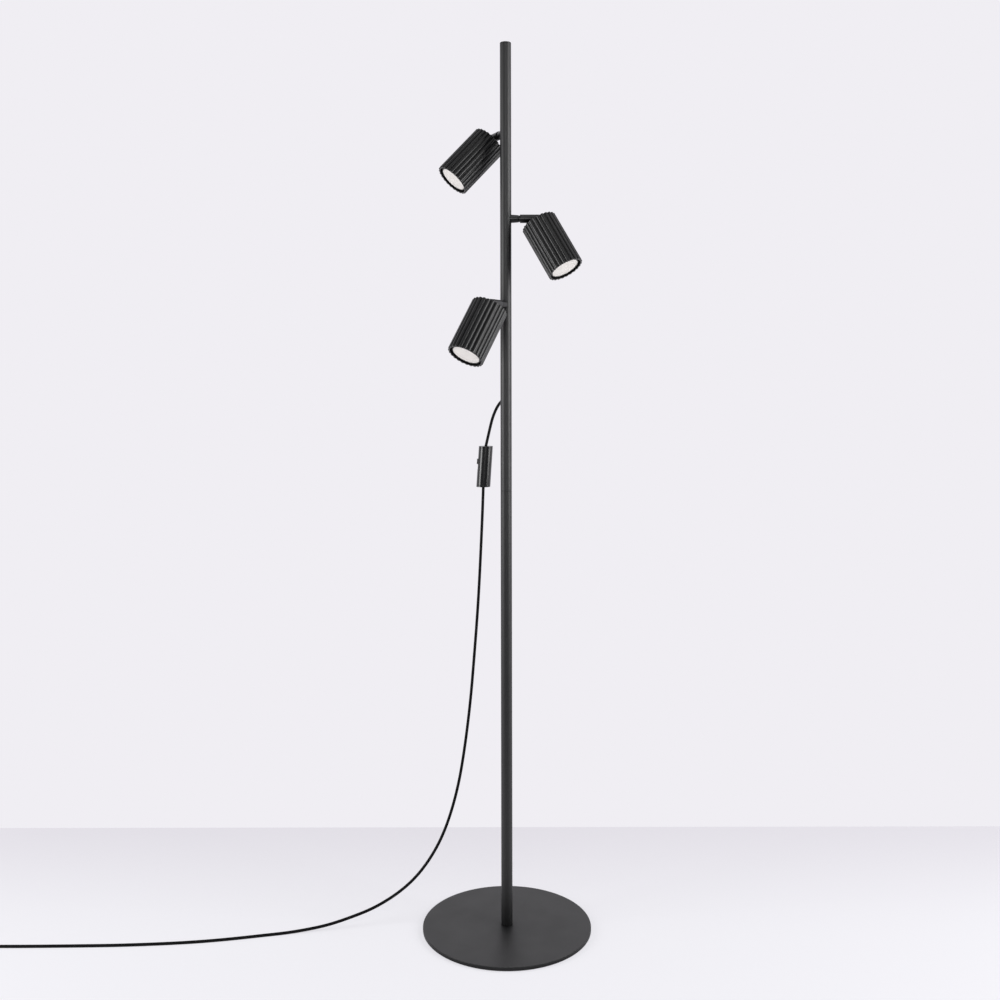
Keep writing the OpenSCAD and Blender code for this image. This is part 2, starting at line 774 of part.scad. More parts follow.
base_plate();
floor_pad();
base_screw();
pole_foot();
lower_pole();
lower_bush();
joint_stud();
upper_bush();
upper_pole();
top_cap();
stub_inserts();
cord_boot();
cord_clamp();
cord_inner_end();
wire_splices();
pole_wires();
cord_upper();
switch_body();
switch_cap_top();
switch_cap_bottom();
switch_block();
switch_slider();
cord_lower();
cord_coil();
plug_body();
plug_pins();
stub(0);  // upper_stub
clip(0);  // upper_clip
knuckle(0);  // upper_knuckle
pivot_screw(0);  // upper_pivot_screw
rear_cap(0);  // upper_rear_cap
shell(0);  // upper_shell
lampholder(0);  // upper_lampholder
holder_screws(0);  // upper_holder_screws
bulb(0);  // upper_bulb
lens(0);  // upper_lens
leads(0);  // upper_leads
stub(1);  // middle_stub
clip(1);  // middle_clip
knuckle(1);  // middle_knuckle
pivot_screw(1);  // middle_pivot_screw
rear_cap(1);  // middle_rear_cap
shell(1);  // middle_shell
lampholder(1);  // middle_lampholder
holder_screws(1);  // middle_holder_screws
bulb(1);  // middle_bulb
lens(1);  // middle_lens
leads(1);  // middle_leads
stub(2);  // lower_stub
clip(2);  // lower_clip
knuckle(2);  // lower_knuckle
pivot_screw(2);  // lower_pivot_screw
rear_cap(2);  // lower_rear_cap
shell(2);  // lower_shell
lampholder(2);  // lower_lampholder
holder_screws(2);  // lower_holder_screws
bulb(2);  // lower_bulb
lens(2);  // lower_lens
leads(2);  // lower_leads
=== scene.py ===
import json
import math
import bmesh
import bpy
from mathutils import Matrix, Vector


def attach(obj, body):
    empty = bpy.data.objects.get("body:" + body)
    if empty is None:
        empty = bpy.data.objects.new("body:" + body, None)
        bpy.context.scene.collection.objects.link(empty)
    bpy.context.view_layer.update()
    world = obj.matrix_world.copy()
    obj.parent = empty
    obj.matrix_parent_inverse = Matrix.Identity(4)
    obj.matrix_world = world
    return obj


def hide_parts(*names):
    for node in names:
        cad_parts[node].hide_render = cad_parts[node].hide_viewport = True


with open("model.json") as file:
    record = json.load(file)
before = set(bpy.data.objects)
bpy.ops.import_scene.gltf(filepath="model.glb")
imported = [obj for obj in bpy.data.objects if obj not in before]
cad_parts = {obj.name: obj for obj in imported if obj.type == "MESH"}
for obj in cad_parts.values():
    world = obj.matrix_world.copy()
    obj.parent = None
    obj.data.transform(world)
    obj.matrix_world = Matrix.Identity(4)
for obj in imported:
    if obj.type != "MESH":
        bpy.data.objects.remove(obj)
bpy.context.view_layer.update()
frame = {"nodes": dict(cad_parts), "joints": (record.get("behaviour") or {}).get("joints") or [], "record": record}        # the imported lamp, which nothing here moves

mm = 0.001
slack = 0.1 * mm         # tolerance where edges are picked by their place
steep = 1.0              # radians, past which an edge counts as a corner
nodes = frame["nodes"]
joints = {joint["name"]: joint for joint in frame["joints"]}
spots = ["upper", "middle", "lower"]


def srgb(hexCode):
    # sRGB hex to the linear colour that Blender works in
    steps = [int(hexCode[i:i + 2], 16) / 255 for i in (1, 3, 5)]
    return [s / 12.92 if s <= 0.04045 else ((s + 0.055) / 1.055) ** 2.4 for s in steps] + [1]


def setInputs(tree, node, inputs):
    # a socket is linked, and anything else is set as the input's value
    for key, value in inputs.items():
        if isinstance(value, bpy.types.NodeSocket):
            tree.links.new(value, node.inputs[key])
        else:
            node.inputs[key].default_value = value


def addNode(tree, kind, settings=None, inputs=None):
    # one shader node with its settings, values and links
    node = tree.nodes.new("ShaderNode" + kind)
    for key, value in (settings or {}).items():
        setattr(node, key, value)
    setInputs(tree, node, inputs or {})
    return node


def newMaterial(name):
    material = bpy.data.materials.new(name)
    material.use_nodes = True
    tree = material.node_tree
    place = addNode(tree, "TexCoord").outputs["Object"]
    return material, tree, tree.nodes["Principled BSDF"], place


def toObject(name, bm):
    # the finished shape as an object in the scene
    mesh = bpy.data.meshes.new(name)
    bm.to_mesh(mesh)
    bm.free()
    made = bpy.data.objects.new(name, mesh)
    bpy.context.scene.collection.objects.link(made)
    return made


# Camera, level, and a little above the place where the lead leaves the pole
camera = {
    "place": (-0.0102, -1.9, 0.9312),
    "pictureSize": 1000,           # pixels each way in the picture it was fitted to
    "pixelsPerUnitSlope": 1121.5,  # focal length in that picture
    "horizonRow": 378.4,           # row of the horizon in that picture
    "rollDegrees": 0.1,
    "sensor": 36,                  # mm
    "seesTo": 100,                 # metres
}


def makeCamera():
    data = bpy.data.cameras.new("camera")
    data.sensor_width = camera["sensor"]
    data.lens = camera["sensor"] * camera["pixelsPerUnitSlope"] / camera["pictureSize"]
    data.shift_y = (camera["horizonRow"] - camera["pictureSize"] / 2) / camera["pictureSize"]
    data.clip_end = camera["seesTo"]
    view = bpy.data.objects.new("camera", data)
    bpy.context.scene.collection.objects.link(view)
    view.location = camera["place"]
    view.rotation_euler = (math.radians(90), math.radians(camera["rollDegrees"]), 0)
    bpy.context.scene.camera = view


makeCamera()
print("camera done")


# Lead: its points are those of the CAD route, in metres. Two of them, just above and just
# below the switch, are left out, because they would kink it.
lead = {
    "radius": 2.5 * mm,
    "sides": 16,
    "sharpFrom": 40,         # degrees, past which an edge is shaded sharp
    "exitAngle": 100,        # degrees round the pole
    "exitHeight": 0.893,
    "bootTip": 31.1 * mm,    # from the pole's axis
    "straight": 5.4 * mm,
    "switchPlace": (-0.0373, 0.054, 0.778),
    "switchLean": 3.75,      # degrees from upright
    "stepsBetween": 6,
    "eased": 16,             # passes that even out its bends
    "turnSteps": 48,
}
switchHalf, blockHalf = 35.5 * mm, 22.1 * mm    # half of the switch, and of its block and a gap
coil = {
    "centre": (-0.908, -0.0305),
    "turns": 2,
    "tailTurns": 0.25,
    "climbTurns": 0.5,       # share of a turn in which it climbs to the upper layer
    "startAngle": -90,
    "middle": 27.5 * mm,
    "pitch": 5.5 * mm,
    "tail": 24 * mm,
    "gap": 0.1 * mm,
}


def exitAt(reach):
    angle = math.radians(lead["exitAngle"])
    return Vector((reach * math.cos(angle), reach * math.sin(angle), lead["exitHeight"]))


def switchAt(along):
    lean = math.radians(lead["switchLean"])
    return Vector(lead["switchPlace"]) + along * Vector((math.sin(lean), 0, math.cos(lean)))


def coilAt(turn):
    # inwards on the floor for the first turns, then outwards on top of them
    radius = coil["middle"] + (abs(turn - coil["turns"]) - coil["turns"] / 2) * coil["pitch"]
    climb = (turn - coil["turns"]) / coil["climbTurns"] + 0.5
    climb = min(max(climb, 0), 1)
    height = lead["radius"] + coil["pitch"] * climb * climb * (3 - 2 * climb)
    angle = math.radians(coil["startAngle"] - 360 * turn)
    return Vector((coil["centre"][0] + radius * math.cos(angle),
                   coil["centre"][1] + radius * math.sin(angle), height))


def throughPoints(points, steps):
    # a smooth curve through the points (Catmull-Rom), kept on top of the floor
    smooth = []
    for i in range(len(points) - 1):
        a, b = points[max(i - 1, 0)], points[i]
        c, d = points[i + 1], points[min(i + 2, len(points) - 1)]
        for k in range(steps):
            t = k / steps
            p = 0.5 * (2 * b + (c - a) * t + (2 * a - 5 * b + 4 * c - d) * t * t
                       + (3 * b - a - 3 * c + d) * t ** 3)
            p.z = max(p.z, lead["radius"])
            smooth.append(p)
    return smooth + [points[-1]]


def relaxed(points, first, last):
    # evens out the bends between two of the points, as a springy sheath does
    points = list(points)
    for _ in range(lead["eased"]):
        points[first + 1:last] = [(a + 2 * b + c) / 4 for a, b, c in zip(
            points[first:last - 1], points[first + 1:last], points[first + 2:last + 1])]
    return points


def lengthOf(points):
    return sum((b - a).length for a, b in zip(points, points[1:]))


upperRoute = [exitAt(lead["bootTip"]), exitAt(lead["bootTip"] + lead["straight"])]
upperRoute += [Vector(p) for p in (
    (-0.0085, 0.046, 0.891), (-0.013, 0.054, 0.885), (-0.018, 0.0585, 0.876),
    (-0.0235, 0.0595, 0.862), (-0.0275, 0.058, 0.846))]
upperRoute += [switchAt(switchHalf), switchAt(blockHalf)]

lowerRoute = [switchAt(-blockHalf), switchAt(-switchHalf)]
lowerRoute += [Vector(p) for p in (
    (-0.041, 0.054, 0.700), (-0.044, 0.054, 0.635), (-0.047, 0.053, 0.573),
    (-0.051, 0.052, 0.510), (-0.056, 0.051, 0.448), (-0.061, 0.049, 0.386),
    (-0.068, 0.046, 0.324), (-0.077, 0.043, 0.262), (-0.085, 0.040, 0.222),
    (-0.096, 0.036, 0.182), (-0.111, 0.032, 0.142), (-0.131, 0.027, 0.107),
    (-0.156, 0.022, 0.076), (-0.182, 0.017, 0.055), (-0.207, 0.012, 0.040),
    (-0.233, 0.007, 0.028), (-0.258, 0.003, 0.020), (-0.283, -0.002, 0.013),
    (-0.307, -0.007, 0.008), (-0.332, -0.012, 0.005), (-0.356, -0.017, 0.003),
    (-0.380, -0.023, 0.0025), (-0.404, -0.028, 0.0025), (-0.451, -0.039, 0.0025),
    (-0.499, -0.048, 0.0025), (-0.547, -0.054, 0.0025), (-0.596, -0.058, 0.0025),
    (-0.644, -0.061, 0.0025), (-0.693, -0.062, 0.0025), (-0.742, -0.063, 0.0025),
    (-0.791, -0.0635, 0.0025), (-0.850, -0.0635, 0.0025))]
lowerRoute.append(coilAt(0) + Vector((2 * lead["radius"] + coil["gap"], 0, 0)))


def makeLead(name, points):
    # rings that roll along with the points, so that the sheath never twists
    bm = bmesh.new()
    last = len(points) - 1
    side = Vector((0, 1, 0))
    angles = [2 * math.pi * k / lead["sides"] for k in range(lead["sides"])]
    rings = []
    for i, point in enumerate(points):
        along = (points[min(i + 1, last)] - points[max(i - 1, 0)]).normalized()
        side = (side - side.dot(along) * along).normalized()
        up = along.cross(side)
        around = [math.cos(a) * side + math.sin(a) * up for a in angles]
        rings.append([bm.verts.new(point + lead["radius"] * out) for out in around])
    for near, far in zip(rings, rings[1:]):
        for k in range(lead["sides"]):
            m = (k + 1) % lead["sides"]
            bm.faces.new((near[k], near[m], far[m], far[k]))
    bm.faces.new(rings[0][::-1])
    bm.faces.new(rings[-1])
    bmesh.ops.recalc_face_normals(bm, faces=bm.faces)
    piece = toObject(name, bm)
    piece.data.shade_smooth()
    piece.data.set_sharp_from_angle(angle=math.radians(lead["sharpFrom"]))
    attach(piece, "stand")
    return piece


# the ends aren't eased, where the lead enters the strain relief, the switch and the coil
upperPoints = throughPoints(upperRoute, lead["stepsBetween"])
upperPoints = relaxed(upperPoints, lead["stepsBetween"] - 1,
                      len(upperPoints) - 1 - lead["stepsBetween"])
lowerPoints = throughPoints(lowerRoute, lead["stepsBetween"])[:-1]
lowerPoints = relaxed(lowerPoints, lead["stepsBetween"],
                      len(lowerPoints) - 2 * lead["stepsBetween"])
lastTurn = 2 * coil["turns"] + coil["tailTurns"]
turnCount = round(lead["turnSteps"] * lastTurn)
lowerPoints += [coilAt(lastTurn * i / turnCount) for i in range(turnCount + 1)]
plugPlace = coilAt(lastTurn) + Vector((0, coil["tail"], 0))
lowerPoints.append(plugPlace)
leadUpper = makeLead("leadUpper", upperPoints)
leadLower = makeLead("leadLower", lowerPoints)
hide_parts("cord_upper")
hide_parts("cord_lower", "cord_coil")
print("leads done:", round(lengthOf(upperPoints), 3), round(lengthOf(lowerPoints), 3))


# Stage: floor and backdrop are one plain surface, a shade deeper towards the back
stage = {
    "reach": 30.0,
    "wallLine": 0.427,       # where the floor meets the backdrop
    "fadeFrom": -0.06,
    "fadeTo": 0.5,
    "wall": "#f0eef3",
    "floorFront": "#f5f4f9",
    "floorBack": "#ebe8ef",
    "shadowShare": 0.34,     # how much of the real shadow the floor shows
    "shadowFull": 1.0,       # how far from the lamp it shows that much, and none
    "shadowGone": 1.5,
    "dimFrom": -0.14,        # on the camera's side shiny parts mirror a dimmer floor
    "dimTo": -0.6,
    "dimShare": 0.2,
}


def showsBackdrop(tree):
    # 1 for the rays that see the background: straight, mirrored and through glass
    rays = addNode(tree, "LightPath").outputs
    either = addNode(tree, "Math", {"operation": "MAXIMUM"},
                     {0: rays["Is Camera Ray"], 1: rays["Is Glossy Ray"]})
    return addNode(tree, "Math", {"operation": "MAXIMUM"},
                   {0: either.outputs[0], 1: rays["Is Transmission Ray"]}).outputs[0]


def makeFloor():
    material, tree, shader, place = newMaterial("matt studio floor")
    tree.nodes.remove(shader)
    depth = addNode(tree, "SeparateXYZ", inputs={0: place}).outputs["Y"]
    fade = addNode(tree, "MapRange", {"interpolation_type": "SMOOTHSTEP"}, {
        "Value": depth, "From Min": stage["fadeFrom"], "From Max": stage["fadeTo"]})
    floorTone = addNode(tree, "MixRGB", inputs={
        "Fac": fade.outputs[0], "Color1": srgb(stage["floorFront"]),
        "Color2": srgb(stage["floorBack"])})
    pastLine = addNode(tree, "Math", {"operation": "GREATER_THAN"},
                       {0: depth, 1: stage["wallLine"]})
    tone = addNode(tree, "MixRGB", inputs={
        "Fac": pastLine.outputs[0], "Color1": floorTone.outputs[0],
        "Color2": srgb(stage["wall"])})
    lit = addNode(tree, "BsdfDiffuse", inputs={"Color": tone.outputs[0]})
    near = addNode(tree, "MapRange", {"interpolation_type": "SMOOTHSTEP"}, {
        "Value": depth, "From Min": stage["dimTo"], "From Max": stage["dimFrom"],
        "To Min": stage["dimShare"]})
    straight = addNode(tree, "Math", {"operation": "SUBTRACT"}, {
        0: 1.0, 1: addNode(tree, "LightPath").outputs["Is Glossy Ray"]})
    strength = addNode(tree, "Math", {"operation": "MAXIMUM"},
                       {0: near.outputs[0], 1: straight.outputs[0]})
    flat = addNode(tree, "Emission", inputs={
        "Color": tone.outputs[0], "Strength": strength.outputs[0]})
    onFloor = addNode(tree, "Math", {"operation": "SUBTRACT"},
                      {0: 1.0, 1: pastLine.outputs[0]})
    distance = addNode(tree, "VectorMath", {"operation": "LENGTH"}, {0: place})
    share = addNode(tree, "MapRange", {"interpolation_type": "SMOOTHSTEP"}, {
        "Value": distance.outputs["Value"], "From Min": stage["shadowFull"],
        "From Max": stage["shadowGone"], "To Min": stage["shadowShare"], "To Max": 0.0})
    shadowPart = addNode(tree, "Math", {"operation": "MULTIPLY"},
                         {0: onFloor.outputs[0], 1: share.outputs[0]})
    seen = addNode(tree, "MixShader", inputs={
        0: shadowPart.outputs[0], 1: flat.outputs[0], 2: lit.outputs[0]})
    both = addNode(tree, "MixShader", inputs={
        0: showsBackdrop(tree), 1: lit.outputs[0], 2: seen.outputs[0]})
    setInputs(tree, tree.nodes["Material Output"], {"Surface": both.outputs[0]})
    bm = bmesh.new()
    bmesh.ops.create_grid(bm, x_segments=1, y_segments=1, size=stage["reach"])
    floor = toObject("floor", bm)
    floor.data.materials.append(material)


# Light: two tall soft boxes left and right, a little on the camera's side, weak ones above
# the lamp and behind the camera, and a pale room
light = {
    "room": 0.31,
    "roomColour": "#f4f4f6",
    "boxes": [
        # name, place, aim, size across, size up, watts
        ("rightBox", (2.0, -0.75, 1.32), (0, 0, 1.32), 1.1, 1.66, 42),
        ("leftBox", (-2.0, -0.75, 1.02), (0, 0, 1.02), 0.9, 1.25, 28),
        ("topBox", (0.3, -0.7, 3.0), (0, 0, 0.3), 1.6, 1.6, 8),
        ("frontBox", (0, -2.6, 1.5), (0, 0, 1.5), 1.0, 1.5, 14),
    ],
    "behind": (-0.1, 0.35),  # from here on, towards +Y, shiny parts mirror the backdrop
    "ceiling": (0.9, 0.6),   # and from here on downwards
}


def mirrorsBackdrop(tree):
    # how much of the backdrop a shiny surface sees in each direction: all of it behind the
    # lamp, and none at the ceiling and on the camera's side, where the studio is dim
    way = addNode(tree, "SeparateXYZ", inputs={
        0: addNode(tree, "TexCoord").outputs["Generated"]}).outputs
    shares = []
    for axis, (none, full) in (("Y", light["behind"]), ("Z", light["ceiling"])):
        shares.append(addNode(tree, "MapRange", {"interpolation_type": "SMOOTHSTEP"}, {
            "Value": way[axis], "From Min": none, "From Max": full}).outputs[0])
    share = addNode(tree, "Math", {"operation": "MULTIPLY"}, {0: shares[0], 1: shares[1]})
    rays = addNode(tree, "LightPath").outputs
    mirrored = addNode(tree, "Math", {"operation": "MULTIPLY"},
                       {0: share.outputs[0], 1: rays["Is Glossy Ray"]})
    straight = addNode(tree, "Math", {"operation": "MAXIMUM"},
                       {0: rays["Is Camera Ray"], 1: rays["Is Transmission Ray"]})
    return addNode(tree, "Math", {"operation": "MAXIMUM"},
                   {0: mirrored.outputs[0], 1: straight.outputs[0]}).outputs[0]


def makeLights():
    world = bpy.data.worlds.new("pale room")
    world.use_nodes = True
    tree = world.node_tree
    room = tree.nodes["Background"]
    setInputs(tree, room, {"Color": srgb(light["roomColour"]), "Strength": light["room"]})
    backdrop = addNode(tree, "Background", inputs={"Color": srgb(stage["wall"])})
    mixed = addNode(tree, "MixShader", inputs={
        0: mirrorsBackdrop(tree), 1: room.outputs[0], 2: backdrop.outputs[0]})
    setInputs(tree, tree.nodes["World Output"], {"Surface": mixed.outputs[0]})
    bpy.context.scene.world = world
    for name, place, aim, across, up, watts in light["boxes"]:
        data = bpy.data.lights.new(name, "AREA")
        data.shape = "RECTANGLE"
        data.size, data.size_y = across, up
        data.energy = watts
        box = bpy.data.objects.new(name, data)
        box.location = place
        box.rotation_euler = (Vector(aim) - Vector(place)).to_track_quat("-Z", "Y").to_euler()
        bpy.context.scene.collection.objects.link(box)


makeFloor()
makeLights()
bpy.context.scene.view_settings.view_transform = "Standard"
print("stage and lights done")


# Finishes. Sizes are in metres, and nearly all of a noise texture lies in noiseSpan.
noiseSpan = {"From Min": 0.3, "From Max": 0.7}
plasticIor = 1.5
coat = {
    "colour": "#0f0f10",
    "roughness": 0.48,
    "uneven": 0.03,        # how far the roughness drifts each way
    "grain": 0.9 * mm,     # real grit is 0.3 mm, drawn coarser so that it shows
    "grainDetail": 2.0,
    "grainRoughness": 0.6,
    "cloud": 55 * mm,
    "cloudDetail": 3.0,
    "drift": 0.05,         # how far the tone drifts each way with the clouds
    "peel": 0.012 * mm,    # depth of the orange peel
    "peelShare": 0.6,
    # painted shade: the next five settings lower the coat's shine by ambient occlusion, which
    # darkens grooves and the places where parts meet
    "shadeReach": 60 * mm,    # how far off another part is felt
    "shadeSamples": 6,
    "shadeTight": 0.45,   # openness of the tightest corner
    "shadeNone": 0.95,    # and where none is felt
    "shadeShine": 0.25,   # share of the shine that is left in the tightest one
}
moulding = {"detail": 2.0, "drift": 0.04, "uneven": 0.03, "bump": 0.5}
plating = {"detail": 3.0, "uneven": 0.07, "bump": 0.4, "depth": 0.02 * mm, "rounded": 0.2 * mm}
edgeSamples = 4            # for edges that are rounded in the shading


def powderCoat(name, colour, roughness, contrast, shine, rounded=0.0):
    # Black polyester powder coat, sprayed and baked: a satin black with a fine, even grain
    # that spreads the highlights of the soft boxes
    material, tree, shader, place = newMaterial(name)
    grain = addNode(tree, "TexNoise", inputs={
        "Vector": place, "Scale": 1 / coat["grain"], "Detail": coat["grainDetail"],
        "Roughness": coat["grainRoughness"]})
    cloud = addNode(tree, "TexNoise", inputs={
        "Vector": place, "Scale": 1 / coat["cloud"], "Detail": coat["cloudDetail"]})
    speck = addNode(tree, "MapRange", inputs={
        "Value": grain.outputs["Fac"], **noiseSpan,
        "To Min": 1 - contrast, "To Max": 1 + contrast})
    drift = addNode(tree, "MapRange", inputs={
        "Value": cloud.outputs["Fac"], **noiseSpan,
        "To Min": 1 - coat["drift"], "To Max": 1 + coat["drift"]})
    tone = addNode(tree, "Math", {"operation": "MULTIPLY"},
                   {0: speck.outputs[0], 1: drift.outputs[0]})
    tinted = addNode(tree, "HueSaturation", inputs={
        "Color": srgb(colour), "Value": tone.outputs[0]})
    dull = addNode(tree, "MapRange", inputs={
        "Value": cloud.outputs["Fac"], **noiseSpan,
        "To Min": roughness - coat["uneven"], "To Max": roughness + coat["uneven"]})
    bump = addNode(tree, "Bump", inputs={
        "Strength": coat["peelShare"], "Distance": coat["peel"],
        "Height": grain.outputs["Fac"]})
    if rounded:
        soft = addNode(tree, "Bevel", {"samples": edgeSamples}, {"Radius": rounded})
        setInputs(tree, bump, {"Normal": soft.outputs[0]})
    # painted shade: in grooves and where parts meet, ambient occlusion lowers the coat's shine,
    # which darkens these places
    paintedShade = addNode(tree, "AmbientOcclusion", {"samples": coat["shadeSamples"]},
                     {"Distance": coat["shadeReach"]})
    level = addNode(tree, "MapRange", inputs={
        "Value": paintedShade.outputs["AO"], "From Min": coat["shadeTight"],
        "From Max": coat["shadeNone"], "To Min": coat["shadeShine"] * shine,
        "To Max": shine})
    setInputs(tree, shader, {
        "IOR": plasticIor, "Specular IOR Level": level.outputs[0],
        "Base Color": tinted.outputs[0], "Roughness": dull.outputs[0],
        "Normal": bump.outputs[0]})
    return material


def mouldedPlastic(name, colour, roughness, grain, depth, shine=0.5, rounded=0.0):
    # Injection moulded plastic: even colour, with the fine texture of the mould
    material, tree, shader, place = newMaterial(name)
    noise = addNode(tree, "TexNoise", inputs={
        "Vector": place, "Scale": 1 / grain, "Detail": moulding["detail"]})
    shade = addNode(tree, "MapRange", inputs={
        "Value": noise.outputs["Fac"], **noiseSpan,
        "To Min": 1 - moulding["drift"], "To Max": 1 + moulding["drift"]})
    tinted = addNode(tree, "HueSaturation", inputs={
        "Color": srgb(colour), "Value": shade.outputs[0]})
    dull = addNode(tree, "MapRange", inputs={
        "Value": noise.outputs["Fac"], **noiseSpan,
        "To Min": roughness - moulding["uneven"], "To Max": roughness + moulding["uneven"]})
    bump = addNode(tree, "Bump", inputs={
        "Strength": moulding["bump"], "Distance": depth, "Height": noise.outputs["Fac"]})
    if rounded:
        soft = addNode(tree, "Bevel", {"samples": edgeSamples}, {"Radius": rounded})
        setInputs(tree, bump, {"Normal": soft.outputs[0]})
    setInputs(tree, shader, {
        "IOR": plasticIor, "Specular IOR Level": shine, "Base Color": tinted.outputs[0],
        "Roughness": dull.outputs[0], "Normal": bump.outputs[0]})
    return material


def platedMetal(name, colour, roughness, grain):
    # Plated steel or brass: bright metal with faint rolling marks and blotches in its shine
    material, tree, shader, place = newMaterial(name)
    noise = addNode(tree, "TexNoise", inputs={
        "Vector": place, "Scale": 1 / grain, "Detail": plating["detail"]})
    dull = addNode(tree, "MapRange", inputs={
        "Value": noise.outputs["Fac"], **noiseSpan,
        "To Min": roughness - plating["uneven"], "To Max": roughness + plating["uneven"]})
    soft = addNode(tree, "Bevel", {"samples": edgeSamples}, {"Radius": plating["rounded"]})
    bump = addNode(tree, "Bump", inputs={
        "Strength": plating["bump"], "Distance": plating["depth"],
        "Height": noise.outputs["Fac"], "Normal": soft.outputs[0]})
    setInputs(tree, shader, {
        "Base Color": srgb(colour), "Metallic": 1.0, "Roughness": dull.outputs[0],
        "Normal": bump.outputs[0]})
    return material


finishes = {
    "powder_steel": powderCoat(
        "powder coated steel", coat["colour"], coat["roughness"], contrast=0.18, shine=0.62),
    "powder_aluminium": powderCoat(
        "powder coated aluminium", "#0d0d0e", 0.3, contrast=0.1, shine=0.5, rounded=0.4 * mm),
    # name, colour, roughness, size of the grain, and depth of the grain in the plastics
    "pad_rubber": mouldedPlastic("foam rubber", "#1a1a1b", 0.85, 0.8 * mm, 0.1 * mm),
    "zinc_steel": platedMetal("zinc plated steel", "#c8c9cc", 0.38, 1.5 * mm),
    "black_screw": mouldedPlastic(
        "blackened screw steel", "#151516", 0.4, 1.0 * mm, 0.01 * mm, rounded=0.3 * mm),
    "cord_black": mouldedPlastic(
        "vinyl lead sheath", "#060607", 0.5, 4 * mm, 0.03 * mm, shine=0.1),
    "switch_black": mouldedPlastic(
        "satin ABS switch", "#131314", 0.2, 1.4 * mm, 0.002 * mm, rounded=0.4 * mm),
    "plug_black": mouldedPlastic(
        "vinyl plug moulding", "#111112", 0.45, 0.8 * mm, 0.03 * mm, rounded=0.4 * mm),
    "nickel_pins": platedMetal("nickel plated brass", "#d9d5cb", 0.2, 3 * mm),
    "inner_white": mouldedPlastic("white nylon", "#dbd7cd", 0.45, 1 * mm, 0.02 * mm),
    "wire_insulation": mouldedPlastic("silicone wire", "#cbb98d", 0.5, 1 * mm, 0.02 * mm),
    "holder_ceramic": mouldedPlastic("glazed ceramic", "#e9e5dc", 0.16, 6 * mm, 0.03 * mm),
    "bulb_white": mouldedPlastic("white lamp housing", "#e9e7e2", 0.35, 2 * mm, 0.01 * mm),
    "lens_frosted": mouldedPlastic("frosted lens", "#e5e1dc", 0.5, 0.6 * mm, 0.02 * mm),
    # painted shade: a black ring round the lens, standing in for the shaded gap between the bulb
    # and the bore
    "shadeRing": mouldedPlastic("black ring painted as shade", "#101011", 0.45, 1 * mm, 0.01 * mm),
}
print("finishes done")


# Making of the pieces. Angles are in degrees.
making = {
    "merge": 0.001 * mm,
    "copyMerge": 0.005 * mm,     # for copies of CAD nodes
    "copyShortest": 0.002 * mm,
    "copyFlat": 0.5,
    "copySharp": 40,
    "acrossWithin": 0.01,        # slope of an edge that still counts as running across
}


def isAcross(edge, axis):
    # true for an edge that runs round a turned or drawn piece, not along it
    along = edge.verts[1].co - edge.verts[0].co
    return abs(along.dot(axis)) < making["acrossWithin"] * along.length


def roundOff(bm, edges, width, segments=3):
    bmesh.ops.bevel(bm, geom=edges, offset=width, offset_type="OFFSET", segments=segments,
                    profile=0.5, affect="EDGES", material=-1, clamp_overlap=True)


def softenEdges(bm, width, angle=35, segments=3):
    # rounds every edge that is sharper than the angle
    bm.normal_update()
    sharp = [e for e in bm.edges if e.calc_face_angle(0) > math.radians(angle)]
    roundOff(bm, sharp, width, segments)


def turned(profile, steps):
    # spins a profile of (place along X, radius) round X into a closed piece
    bm = bmesh.new()
    points = [bm.verts.new((along, radius, 0)) for along, radius in profile]
    lines = [bm.edges.new(pair) for pair in zip(points, points[1:] + points[:1])
             if pair[0].co.y > 0 or pair[1].co.y > 0]
    bmesh.ops.spin(bm, geom=points + lines, cent=(0, 0, 0), axis=(1, 0, 0),
                   angle=2 * math.pi, steps=steps, use_merge=True)
    bmesh.ops.remove_doubles(bm, verts=bm.verts, dist=making["merge"])
    bmesh.ops.recalc_face_normals(bm, faces=bm.faces)
    return bm


def ringedSleeve(start, end, startRadius, endRadius, pitches, marks, depth):
    # profile of a bendy sleeve: each mark is a share of the pitch, and whether it is cut in
    rows = []
    pitch = (end - start) / pitches
    for k in range(pitches):
        for share, cut in marks:
            along = start + pitch * (k + share)
            radius = startRadius + (endRadius - startRadius) * ((along - start) / (end - start))
            rows.append((along, radius - cut * depth))
    return rows


def joinInto(whole, part):
    # adds one shape to another, and the first is used up
    mesh = bpy.data.meshes.new("part")
    part.to_mesh(mesh)
    part.free()
    whole.from_mesh(mesh)
    bpy.data.meshes.remove(mesh)


def finishPiece(name, bm, place, body, replaced, finish, sharpAngle=35):
    # puts the shape in its place in the mesh itself and joins the piece to its body
    bmesh.ops.transform(bm, matrix=place, verts=bm.verts)
    bmesh.ops.recalc_face_normals(bm, faces=bm.faces)
    piece = toObject(name, bm)
    piece.data.shade_smooth()
    piece.data.set_sharp_from_angle(angle=math.radians(sharpAngle))
    piece.data.materials.append(finishes[finish])
    flat = piece.modifiers.new("flat faces", "WEIGHTED_NORMAL")
    flat.keep_sharp = True    # broad faces keep their shading right up to a rounded edge
    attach(piece, body)
    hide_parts(*replaced)
    return piece


def roundedCopy(name, node, body, width, finish, segments=2):
    # a merged copy of a CAD node with its edges rounded, for small sawn and drilled parts
    bm = bmesh.new()
    bm.from_mesh(nodes[node].data)
    bmesh.ops.remove_doubles(bm, verts=bm.verts, dist=making["copyMerge"])
    bmesh.ops.dissolve_degenerate(bm, dist=making["copyShortest"], edges=bm.edges)
    bmesh.ops.dissolve_limit(bm, angle_limit=math.radians(making["copyFlat"]), verts=bm.verts,
                             edges=bm.edges)
    softenEdges(bm, width, making["copySharp"], segments)
    return finishPiece(name, bm, Matrix.Identity(4), body, [node], finish)


def placeAlong(start, direction, side):
    # a frame whose X runs along the direction and whose Y is the side
    direction, side = Vector(direction).normalized(), Vector(side).normalized()
    up = direction.cross(side)
    turn = Matrix((direction, side, up)).transposed().to_4x4()
    return Matrix.Translation(start) @ turn


